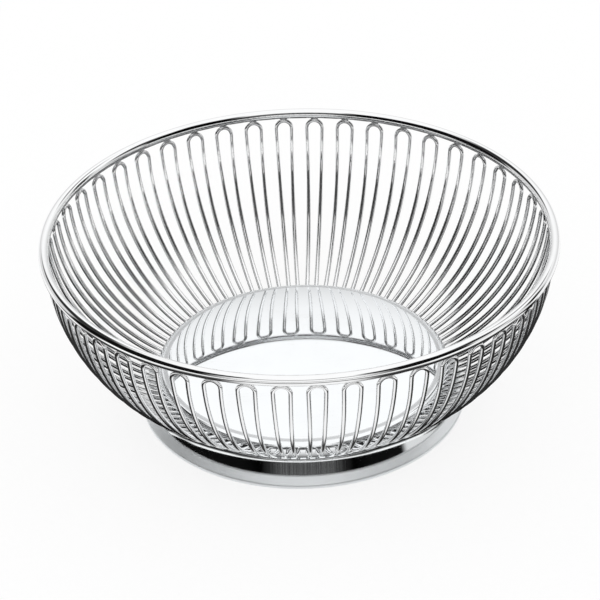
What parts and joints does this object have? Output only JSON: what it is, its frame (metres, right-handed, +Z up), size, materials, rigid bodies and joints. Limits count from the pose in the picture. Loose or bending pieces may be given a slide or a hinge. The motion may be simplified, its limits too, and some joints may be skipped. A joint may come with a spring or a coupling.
{
  "type": "wire basket",
  "caption": "Open round bowl basket of polished steel wire hairpins between a round rim hoop and a mirror-finished domed dish on a flared foot ring.",
  "frame": {"origin": "on the table plane, at the middle of the foot ring's standing circle", "axes": "+Z up along the bowl's axis, -Y towards the viewer of the picture"},
  "size_m": [0.245, 0.245, 0.092],
  "materials": {
    "rim_steel": "mirror polished stainless steel",
    "wire_steel": "polished stainless steel wire",
    "dish_steel": "mirror polished stainless steel sheet",
    "foot_steel": "mirror polished stainless steel sheet, satin lip"
  },
  "bodies": {
    "root": {"rim_ring": "rim_steel", "dish": "dish_steel", "foot_ring": "foot_steel", "hairpin_01": "wire_steel", "hairpin_02": "wire_steel", "hairpin_03": "wire_steel", "hairpin_04": "wire_steel", "hairpin_05": "wire_steel", "hairpin_06": "wire_steel", "hairpin_07": "wire_steel", "hairpin_08": "wire_steel", "hairpin_09": "wire_steel", "hairpin_10": "wire_steel", "hairpin_11": "wire_steel", "hairpin_12": "wire_steel", "hairpin_13": "wire_steel", "hairpin_14": "wire_steel", "hairpin_15": "wire_steel", "hairpin_16": "wire_steel", "hairpin_17": "wire_steel", "hairpin_18": "wire_steel", "hairpin_19": "wire_steel", "hairpin_20": "wire_steel", "hairpin_21": "wire_steel", "hairpin_22": "wire_steel", "hairpin_23": "wire_steel", "hairpin_24": "wire_steel", "hairpin_25": "wire_steel", "hairpin_26": "wire_steel", "hairpin_27": "wire_steel", "hairpin_28": "wire_steel", "hairpin_29": "wire_steel", "hairpin_30": "wire_steel", "hairpin_31": "wire_steel", "hairpin_32": "wire_steel", "hairpin_33": "wire_steel", "hairpin_34": "wire_steel", "hairpin_35": "wire_steel", "hairpin_36": "wire_steel", "hairpin_37": "wire_steel", "hairpin_38": "wire_steel", "hairpin_39": "wire_steel", "hairpin_40": "wire_steel", "hairpin_41": "wire_steel", "hairpin_42": "wire_steel", "hairpin_43": "wire_steel", "hairpin_44": "wire_steel", "hairpin_45": "wire_steel", "hairpin_46": "wire_steel", "hairpin_47": "wire_steel", "hairpin_48": "wire_steel"}
  },
  "joints": []
}
